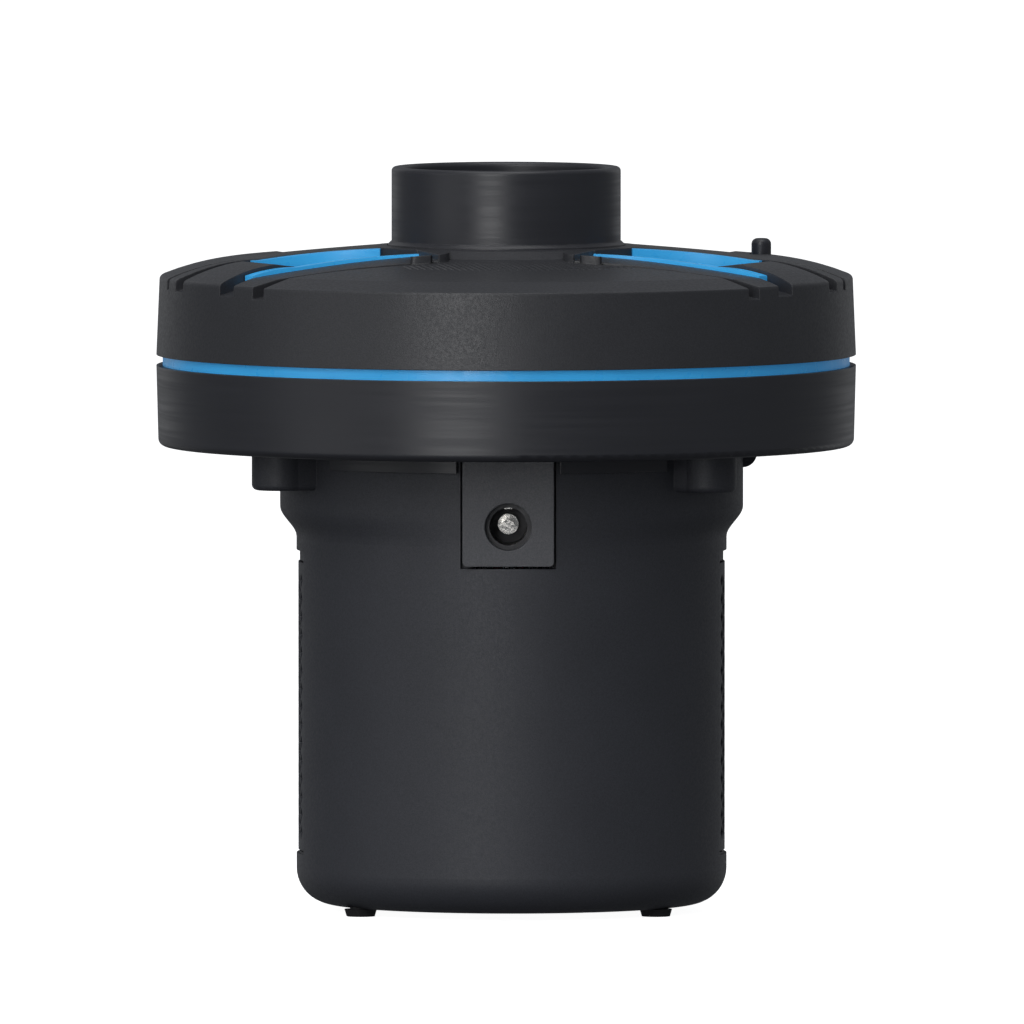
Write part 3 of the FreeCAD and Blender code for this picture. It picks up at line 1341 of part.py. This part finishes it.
def screws():
    """Head, shank and thread core of the screws that hold the grip and the cover to the housing."""
    groups = (("grip_screws", boss_places(), f"{HEAD} - boss_height / 2 - screw_head_height - 0.5",
               HEAD, "post_height"),
              ("cover_screws", cover_screw_places(), f"{HEAD} + 1", f"{COVER} - 0.8", "7"))
    for name, places, head_low, thread_low, thread in groups:
        pieces = []
        for number, (x, y) in enumerate(places):
            shank_low = f"({head_low} + screw_head_height)"
            pieces.append(cylinder(f"{name}_head_{number}", "screw_head_radius", "screw_head_height",
                                   x, y, head_low))
            pieces.append(cylinder(f"{name}_shank_{number}", "screw_radius",
                                   f"{thread_low} - {shank_low}", x, y, shank_low))
            pieces.append(cylinder(f"{name}_core_{number}", "screw_core_radius - 0.02", thread, x, y,
                                   thread_low))
        node(fuse(f"{name}_set", pieces), name)


grip_body()
grip_panel(-1, "left_grip_panel")
grip_panel(1, "right_grip_panel")
feet()
charging_socket()
fan_housing()
ring_and_gasket()
top_cover()
inlays()
nozzle()
motor_case()
motor_mount()
armature()
impeller()
return_vanes()
cells()
circuit_board()
slide_switch()
leads()
screws()
doc.recompute()


def write_parts():
    os.makedirs("parts", exist_ok=True)
    faults = [thing.Name for thing in doc.Objects if "Invalid" in thing.State or "Error" in thing.State]
    for piece in NODES:
        if piece.Shape.isNull() or not piece.Shape.isValid() or not piece.Shape.Solids:
            faults.append(piece.Label)
    if faults:
        raise RuntimeError("failed: " + ", ".join(faults))
    for piece in NODES:
        piece.Shape.exportStep(f"parts/{piece.Label}.step")
        print(piece.Label, len(piece.Shape.Solids), round(piece.Shape.Volume, 1))


write_parts()
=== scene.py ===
import json
import math

import bpy
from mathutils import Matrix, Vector
from mathutils.bvhtree import BVHTree


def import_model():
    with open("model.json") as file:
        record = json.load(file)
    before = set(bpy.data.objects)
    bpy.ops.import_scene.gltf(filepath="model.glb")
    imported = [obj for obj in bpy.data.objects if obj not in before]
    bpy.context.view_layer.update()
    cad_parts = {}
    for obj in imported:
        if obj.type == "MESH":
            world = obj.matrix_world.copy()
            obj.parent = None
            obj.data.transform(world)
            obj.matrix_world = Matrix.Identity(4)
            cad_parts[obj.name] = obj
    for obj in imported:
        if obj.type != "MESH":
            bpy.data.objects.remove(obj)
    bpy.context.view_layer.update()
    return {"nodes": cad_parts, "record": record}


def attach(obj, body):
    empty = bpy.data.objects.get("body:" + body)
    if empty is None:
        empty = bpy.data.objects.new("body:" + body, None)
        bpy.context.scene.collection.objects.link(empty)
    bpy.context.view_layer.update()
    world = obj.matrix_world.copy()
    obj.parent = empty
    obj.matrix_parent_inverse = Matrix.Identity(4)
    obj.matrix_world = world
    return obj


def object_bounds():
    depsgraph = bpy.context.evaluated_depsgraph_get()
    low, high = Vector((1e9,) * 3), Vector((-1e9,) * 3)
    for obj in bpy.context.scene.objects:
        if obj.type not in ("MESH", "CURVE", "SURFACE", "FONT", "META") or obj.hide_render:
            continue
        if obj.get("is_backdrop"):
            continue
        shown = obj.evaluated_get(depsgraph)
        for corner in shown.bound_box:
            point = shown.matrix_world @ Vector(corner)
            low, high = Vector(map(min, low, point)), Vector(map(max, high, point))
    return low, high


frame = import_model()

MM = 0.001
nodes = frame["nodes"]


# ---------------------------------------------------------------------------------------------------
# Material building blocks
# ---------------------------------------------------------------------------------------------------
class Shader:
    """A principled material with short ways to add the textures that drive it."""

    def __init__(self, name, color, roughness, metallic=0.0, specular=0.5, coat=0.0, coat_roughness=0.1):
        self.material = bpy.data.materials.new(name)
        self.material.use_nodes = True
        self.tree = self.material.node_tree
        self.surface = self.tree.nodes["Principled BSDF"]
        self.color = (*color, 1.0)
        self.roughness = roughness
        self.put("Base Color", self.color)
        self.put("Roughness", roughness)
        self.put("Metallic", metallic)
        self.put("Specular IOR Level", specular)
        self.put("Coat Weight", coat)
        self.put("Coat Roughness", coat_roughness)
        self.place = self.add("ShaderNodeTexCoord").outputs["Object"]
        self.normal = None

    def put(self, socket, value):
        self.surface.inputs[socket].default_value = value

    def add(self, kind, **inputs):
        node = self.tree.nodes.new(kind)
        for name, value in inputs.items():
            self.feed(node.inputs[name.replace("_", " ")], value)
        return node

    def feed(self, socket, value):
        if isinstance(value, bpy.types.NodeSocket):
            self.tree.links.new(value, socket)
        else:
            socket.default_value = value

    def stretched(self, scale):
        """Object coordinates with each axis scaled, so that a texture is drawn out along the smaller ones."""
        return self.add("ShaderNodeMapping", Vector=self.place, Scale=scale).outputs["Vector"]

    def noise(self, size_mm, detail=2.0, stretch=(1, 1, 1)):
        """Noise whose features are about size_mm across."""
        node = self.add("ShaderNodeTexNoise", Vector=self.stretched(stretch), Scale=1 / (size_mm * MM),
                        Detail=detail)
        return node.outputs["Fac"]

    def cells(self, size_mm, feature):
        """Distances in a pattern of cells about size_mm across."""
        node = self.add("ShaderNodeTexVoronoi", Vector=self.place, Scale=1 / (size_mm * MM))
        node.feature = feature
        return node.outputs["Distance"]

    def spread(self, value, low, high, start=0.35, end=0.65):
        """The value's middle range mapped onto low to high."""
        node = self.add("ShaderNodeMapRange", Value=value)
        for name, number in (("From Min", start), ("From Max", end), ("To Min", low), ("To Max", high)):
            node.inputs[name].default_value = number
        return node.outputs["Result"]

    def mix(self, factor, first, second):
        node = self.tree.nodes.new("ShaderNodeMix")
        node.data_type = "RGBA"
        for socket, value in zip((node.inputs[0], node.inputs[6], node.inputs[7]), (factor, first, second)):
            self.feed(socket, value)
        return node.outputs[2]

    def multiply(self, first, second):
        node = self.add("ShaderNodeMath")
        node.operation = "MULTIPLY"
        self.feed(node.inputs[0], first)
        self.feed(node.inputs[1], second)
        return node.outputs[0]

    def edges(self, radius_mm=0.5):
        """1 along sharp edges and 0 on open faces."""
        soft = self.add("ShaderNodeBevel", Radius=radius_mm * MM)
        soft.samples = 4
        hard = self.add("ShaderNodeNewGeometry").outputs["Normal"]
        dot = self.tree.nodes.new("ShaderNodeVectorMath")
        dot.operation = "DOT_PRODUCT"
        self.feed(dot.inputs[0], soft.outputs["Normal"])
        self.feed(dot.inputs[1], hard)
        return self.spread(dot.outputs["Value"], 1.0, 0.0, 0.80, 0.995)

    def soften(self, radius_mm):
        """Shades sharp edges as if they were rounded by radius_mm."""
        node = self.add("ShaderNodeBevel", Radius=radius_mm * MM)
        node.samples = 6
        self.normal = node.outputs["Normal"]
        self.feed(self.surface.inputs["Normal"], self.normal)

    def bump(self, height, depth_mm):
        """Raises the surface by up to depth_mm where the height value says."""
        node = self.add("ShaderNodeBump", Height=height, Strength=1.0, Distance=depth_mm * MM)
        if self.normal is not None:
            self.feed(node.inputs["Normal"], self.normal)
        self.normal = node.outputs["Normal"]
        self.feed(self.surface.inputs["Normal"], self.normal)

    def tone(self, value, low, high, start=0.35, end=0.65):
        """Varies the colour between low and high times its own value, where the value says."""
        shade = self.spread(value, low, high, start, end)
        node = self.tree.nodes.new("ShaderNodeVectorMath")
        node.operation = "SCALE"
        base = self.surface.inputs["Base Color"]
        source = base.links[0].from_socket if base.is_linked else self.color[:3]
        self.feed(node.inputs[0], source)
        self.feed(node.inputs["Scale"], shade)
        self.feed(base, node.outputs[0])

    def wear_and_edge_highlight(self, amount, color):
        """Rubs the edges towards a paler colour: partly edge wear, partly a painted highlight along sharp
        edges.
        """
        base = self.surface.inputs["Base Color"]
        source = base.links[0].from_socket if base.is_linked else self.color
        # paler edges: real rubbing wear mixed with a painted highlight along the edges
        rubbed_and_lit_edges = self.multiply(self.edges(), self.spread(self.noise(3.0, 4.0), 0.0, amount, 0.40, 0.70))
        self.feed(base, self.mix(rubbed_and_lit_edges, source, (*color, 1.0)))

    def gloss(self, value, low, high):
        """Varies the roughness between low and high, where the value says."""
        self.feed(self.surface.inputs["Roughness"], self.spread(value, low, high))


# ---------------------------------------------------------------------------------------------------
# Materials
# ---------------------------------------------------------------------------------------------------
def grained_black(name, grain_mm, depth_mm, color=(0.034, 0.036, 0.044), roughness=(0.42, 0.56)):
    """Black plastic from a spark-eroded mould: fine pits and crests with a soft sheen."""
    look = Shader(name, color, roughness[0])
    look.soften(0.25)
    grain = look.noise(grain_mm, 3.0)
    look.tone(look.noise(14.0, 3.0), 0.96, 1.04)
    look.tone(grain, 0.86, 1.16)
    look.gloss(look.noise(grain_mm * 2.2, 3.0), *roughness)
    look.bump(grain, depth_mm)
    # paler edges: partly wear, partly a painted highlight along edges such as the rim and notch lips
    look.wear_and_edge_highlight(0.35, (0.11, 0.112, 0.12))
    return look.material


def satin_black(name, color=(0.026, 0.027, 0.033), roughness=(0.34, 0.44)):
    """Smooth moulded black plastic with faint marks that run round it."""
    look = Shader(name, color, roughness[0])
    look.soften(0.3)
    streaks = look.noise(1.6, 4.0, (0.05, 0.05, 2.2))
    look.tone(look.noise(18.0, 3.0), 0.96, 1.04)
    look.tone(streaks, 0.96, 1.05)
    look.gloss(streaks, *roughness)
    look.bump(look.noise(0.2, 2.0), 0.004)
    look.bump(streaks, 0.003)
    look.wear_and_edge_highlight(0.45, (0.14, 0.14, 0.15))
    return look.material


def blue_plastic(name):
    """Bright blue plastic with a painted glow: a little emission brightens it beyond what the lamps give."""
    look = Shader(name, (0.05, 0.50, 1.0), 0.30)
    # painted glow: this emission stands in for light falling on the blue; the part is no lamp
    look.put("Emission Color", (0.05, 0.42, 1.0, 1.0))
    look.put("Emission Strength", 0.14)
    look.tone(look.noise(9.0, 3.0), 0.94, 1.05)
    look.tone(look.noise(0.8, 3.0, (0.1, 0.1, 2.0)), 0.96, 1.04)
    look.gloss(look.noise(2.0, 4.0), 0.26, 0.38)
    look.bump(look.noise(0.4, 2.0), 0.004)
    look.wear_and_edge_highlight(0.3, (0.25, 0.65, 1.0))
    return look.material


def dull_plastic(name, color, roughness=(0.45, 0.6)):
    look = Shader(name, color, roughness[0])
    look.tone(look.noise(6.0, 4.0), 0.9, 1.08)
    look.gloss(look.noise(1.5, 3.0), *roughness)
    look.bump(look.noise(0.6, 3.0), 0.01)
    look.wear_and_edge_highlight(0.3, tuple(min(1.0, part * 1.8 + 0.04) for part in color))
    return look.material


def rubber(name):
    look = Shader(name, (0.014, 0.014, 0.016), 0.75, specular=0.35)
    look.tone(look.noise(2.5, 4.0), 0.8, 1.3)
    look.gloss(look.noise(0.6, 3.0), 0.65, 0.85)
    look.bump(look.noise(0.25, 3.0), 0.02)
    return look.material


def metal(name, color, roughness=(0.18, 0.34), stretch=(1, 1, 1)):
    look = Shader(name, color, roughness[0], metallic=1.0)
    scratches = look.noise(0.35, 4.0, stretch)
    look.tone(look.noise(3.0, 4.0), 0.88, 1.05)
    look.tone(scratches, 0.93, 1.05)
    look.gloss(scratches, *roughness)
    look.bump(scratches, 0.004)
    look.wear_and_edge_highlight(0.4, tuple(min(1.0, part * 1.25) for part in color))
    return look.material


def laminations(name):
    """A stack of thin steel plates."""
    look = Shader(name, (0.42, 0.42, 0.44), 0.4, metallic=1.0)
    plates = look.noise(0.5, 0.0, (0.01, 0.01, 1.0))
    look.tone(plates, 0.55, 1.1)
    look.gloss(plates, 0.3, 0.55)
    look.bump(plates, 0.05)
    return look.material


def enamelled_wire(name):
    """Turns of varnished copper wire, side by side."""
    look = Shader(name, (0.55, 0.20, 0.07), 0.25, metallic=1.0, coat=0.6, coat_roughness=0.12)
    turns = look.noise(0.45, 1.0, (1.0, 0.04, 1.0))
    look.tone(turns, 0.45, 1.15)
    look.gloss(turns, 0.2, 0.4)
    look.bump(turns, 0.12)
    return look.material


def circuit(name):
    look = Shader(name, (0.012, 0.16, 0.05), 0.3, coat=0.4, coat_roughness=0.15)
    copper = look.cells(2.4, "DISTANCE_TO_EDGE")
    look.tone(copper, 1.9, 1.0, 0.02, 0.06)
    look.gloss(look.noise(0.8, 3.0), 0.25, 0.4)
    look.bump(copper, 0.03)
    return look.material


SLOT_LOOKS = {
    "black_plastic": grained_black("grip_grain", 0.20, 0.010, (0.041, 0.043, 0.052), (0.50, 0.62)),
    "satin_plastic": satin_black("satin_black"),
    "blue_plastic": blue_plastic("blue_plastic"),
    "inner_plastic": dull_plastic("inner_plastic", (0.05, 0.05, 0.055)),
    "white_plastic": dull_plastic("white_plastic", (0.62, 0.62, 0.58)),
    "rubber": rubber("foot_rubber"),
    "steel": metal("zinc_steel", (0.56, 0.57, 0.58)),
    "nickel": metal("bright_nickel", (0.78, 0.76, 0.72), (0.12, 0.24)),
    "brass": metal("turned_brass", (0.72, 0.52, 0.22), (0.2, 0.35), (0.1, 0.1, 1.0)),
    "copper": enamelled_wire("enamelled_copper"),
    "magnet": dull_plastic("ferrite", (0.045, 0.045, 0.05)),
    "cell_wrap": dull_plastic("cell_sleeve", (0.02, 0.13, 0.08), (0.22, 0.34)),
    "board": circuit("solder_mask"),
    "red_lead": dull_plastic("lead_sleeve", (0.42, 0.02, 0.02), (0.3, 0.42)),
}
NODE_LOOKS = {
    "top_cover": grained_black("cover_grain", 0.24, 0.022, (0.034, 0.035, 0.040), (0.38, 0.50)),
    "jack_plate": grained_black("plate_grain", 0.24, 0.024, (0.076, 0.078, 0.088), (0.36, 0.50)),
    "armature_core": laminations("steel_plates"),
}


def dress_cad_nodes():
    slot_of = {part["node"]: part["material_slot"] for part in frame["record"]["subparts"]}
    for name, piece in nodes.items():
        look = NODE_LOOKS.get(name) or SLOT_LOOKS[slot_of[name]]
        piece.data.materials.clear()
        piece.data.materials.append(look)


# ---------------------------------------------------------------------------------------------------
# Hatch: fine ribs on the lowered fields of the cover, front and back
# ---------------------------------------------------------------------------------------------------
HATCH_PITCH = 1.0 * MM
HATCH_INNER = 26.2 * MM
HATCH_OUTER = 36.5 * MM
HATCH_HALF_WIDTH = 24.0 * MM
HATCH_LEAN = math.radians(16)
HATCH_HEIGHT = 0.11 * MM
HATCH_ROOT = 0.05 * MM
FIELD_TOLERANCE = 0.06 * MM
HATCH_STEPS = 14


def surface_under(tree, x, y):
    """Height of the highest surface at a place, found from one metre up."""
    spot, normal, index, distance = tree.ray_cast(Vector((x, y, 1.0)), Vector((0, 0, -1)))
    return spot.z


def mesh_piece(name, verts, faces, look):
    """A visual piece that rides on the housing."""
    mesh = bpy.data.meshes.new(name)
    mesh.from_pydata(verts, [], faces)
    mesh.validate()
    mesh.materials.append(look)
    piece = bpy.data.objects.new(name, mesh)
    bpy.context.scene.collection.objects.link(piece)
    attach(piece, "housing")
    return piece


def on_field(tree, spot, side):
    """True where the cover is at the field's own height for that distance from the axis."""
    height = surface_under(tree, spot.x, spot.y)
    return abs(height - surface_under(tree, 0.0, side * spot.length)) < FIELD_TOLERANCE


def hatch(name, side):
    """Parallel ribs across the field on one side (-1 front, 1 back); each is a low ridge with a sharp crest."""
    tree = BVHTree.FromObject(nodes["top_cover"], bpy.context.evaluated_depsgraph_get())
    along = Vector((math.sin(HATCH_LEAN), -math.cos(HATCH_LEAN), 0)) * -side
    across = Vector((along.y, -along.x, 0))
    half = HATCH_PITCH * 0.34
    verts = []
    faces = []
    count = int(HATCH_HALF_WIDTH / HATCH_PITCH)
    for number in range(-count, count + 1):
        offset = number * HATCH_PITCH
        near = math.sqrt(HATCH_INNER ** 2 - min(abs(offset), HATCH_INNER) ** 2)
        far = math.sqrt(HATCH_OUTER ** 2 - offset ** 2)
        spots = [along * (near + (far - near) * step / HATCH_STEPS) + across * offset
                 for step in range(HATCH_STEPS + 1)]
        spots = [spot for spot in spots
                 if all(on_field(tree, spot + across * shift, side) for shift in (-1.2 * half, 1.2 * half))]
        if len(spots) < 3:
            continue
        first = len(verts)
        for step, spot in enumerate(spots):
            inside = 0.0 if step in (0, len(spots) - 1) else 1.0
            for shift, rise in ((-half, -HATCH_ROOT), (0.0, HATCH_HEIGHT * inside), (half, -HATCH_ROOT)):
                point = spot + across * shift
                verts.append((point.x, point.y, surface_under(tree, point.x, point.y) + rise))
        for step in range(len(spots) - 1):
            row = first + 3 * step
            faces += [(row, row + 1, row + 4, row + 3), (row + 1, row + 2, row + 5, row + 4),
                      (row, row + 3, row + 5, row + 2)]
        last = first + 3 * (len(spots) - 1)
        faces += [(first, first + 2, first + 1), (last, last + 1, last + 2)]
    return mesh_piece(name, verts, faces, NODE_LOOKS["top_cover"])


# ---------------------------------------------------------------------------------------------------
# Stage, light and camera
# ---------------------------------------------------------------------------------------------------
CAMERA_DISTANCE = 7.0
CAMERA_LIFT = math.radians(2.95)
AIM = Vector((0.00097, 0.0, 0.06644))
VIEW_WIDTH = 0.17067
SENSOR = 36.0
LIGHT_AIM = Vector((0, 0, 0.07))
FLOOR_HALF = 60.0
FLOOR_DROP = 0.05 * MM


def camera():
    data = bpy.data.cameras.new("camera")
    eye = bpy.data.objects.new("camera", data)
    bpy.context.scene.collection.objects.link(eye)
    eye.location = AIM + CAMERA_DISTANCE * Vector((0, -math.cos(CAMERA_LIFT), math.sin(CAMERA_LIFT)))
    sight = AIM - eye.location
    eye.rotation_euler = sight.to_track_quat("-Z", "Y").to_euler()
    data.sensor_width = SENSOR
    data.lens = SENSOR * sight.length / VIEW_WIDTH
    data.clip_start = 0.1
    data.clip_end = 200
    bpy.context.scene.camera = eye


def softbox(name, azimuth, elevation, distance, width, height, power):
    """A rectangular light that faces the object; azimuth 0 is the photographer's side, 90 is +X."""
    data = bpy.data.lights.new(name, "AREA")
    data.shape = "RECTANGLE"
    data.size = width
    data.size_y = height
    data.energy = power
    lamp = bpy.data.objects.new(name, data)
    bpy.context.scene.collection.objects.link(lamp)
    turn = math.radians(azimuth)
    lift = math.radians(elevation)
    away = Vector((math.sin(turn) * math.cos(lift), -math.cos(turn) * math.cos(lift), math.sin(lift)))
    lamp.location = LIGHT_AIM + away * distance
    lamp.rotation_euler = (-away).to_track_quat("-Z", "Y").to_euler()
    lamp.visible_camera = False
    return lamp


def light():
    softbox("key", -16, 14, 1.6, 0.62, 1.5, 11.0)
    softbox("fill_left", -62, 10, 1.6, 0.9, 1.5, 2.4)
    softbox("rim_left", -150, 8, 1.4, 0.6, 1.4, 0.6)
    softbox("rim_right", 150, 8, 1.4, 0.6, 1.4, 0.5)
    softbox("top", -10, 78, 1.2, 0.9, 0.9, 6.0)


def world():
    """A dim room that is darker below, and a white backdrop that only the camera sees."""
    surround = bpy.data.worlds.new("studio")
    bpy.context.scene.world = surround
    surround.use_nodes = True
    tree = surround.node_tree
    seen = tree.nodes.new("ShaderNodeLightPath").outputs["Is Camera Ray"]
    room = tree.nodes["Background"]
    room.inputs["Color"].default_value = (0.90, 0.94, 1.0, 1.0)
    height = tree.nodes.new("ShaderNodeSeparateXYZ")
    tree.links.new(tree.nodes.new("ShaderNodeTexCoord").outputs["Generated"], height.inputs[0])
    dimmer = tree.nodes.new("ShaderNodeMapRange")
    for socket, value in (("From Min", -0.8), ("From Max", 0.1), ("To Min", 0.06), ("To Max", 0.20)):
        dimmer.inputs[socket].default_value = value
    tree.links.new(height.outputs["Z"], dimmer.inputs["Value"])
    tree.links.new(dimmer.outputs["Result"], room.inputs["Strength"])
    backdrop = tree.nodes.new("ShaderNodeBackground")
    backdrop.inputs["Color"].default_value = (1, 1, 1, 1)
    mix = tree.nodes.new("ShaderNodeMixShader")
    tree.links.new(seen, mix.inputs[0])
    tree.links.new(room.outputs[0], mix.inputs[1])
    tree.links.new(backdrop.outputs[0], mix.inputs[2])
    tree.links.new(mix.outputs[0], tree.nodes["World Output"].inputs["Surface"])


def floor():
    """A pale sweep under the object that stays nearly white and takes a faint contact shadow."""
    look = Shader("pale_floor", (0.9, 0.9, 0.9), 0.8)
    look.put("Emission Color", (1, 1, 1, 1))
    look.put("Emission Strength", 0.95)
    look.tone(look.noise(40.0, 2.0), 0.995, 1.005)
    mesh = bpy.data.meshes.new("floor")
    corners = [(x, y, 0) for x, y in ((-FLOOR_HALF, -FLOOR_HALF), (FLOOR_HALF, -FLOOR_HALF),
                                        (FLOOR_HALF, FLOOR_HALF), (-FLOOR_HALF, FLOOR_HALF))]
    mesh.from_pydata(corners, [], [(0, 1, 2, 3)])
    mesh.materials.append(look.material)
    ground = bpy.data.objects.new("floor", mesh)
    bpy.context.scene.collection.objects.link(ground)
    ground.location.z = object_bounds()[0].z - FLOOR_DROP
    ground.visible_diffuse = False
    ground.visible_glossy = False
    ground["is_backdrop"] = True


camera()
dress_cad_nodes()
hatch("hatch_front", -1)
hatch("hatch_back", 1)
light()
world()
floor()
bpy.context.scene.view_settings.view_transform = "Standard"
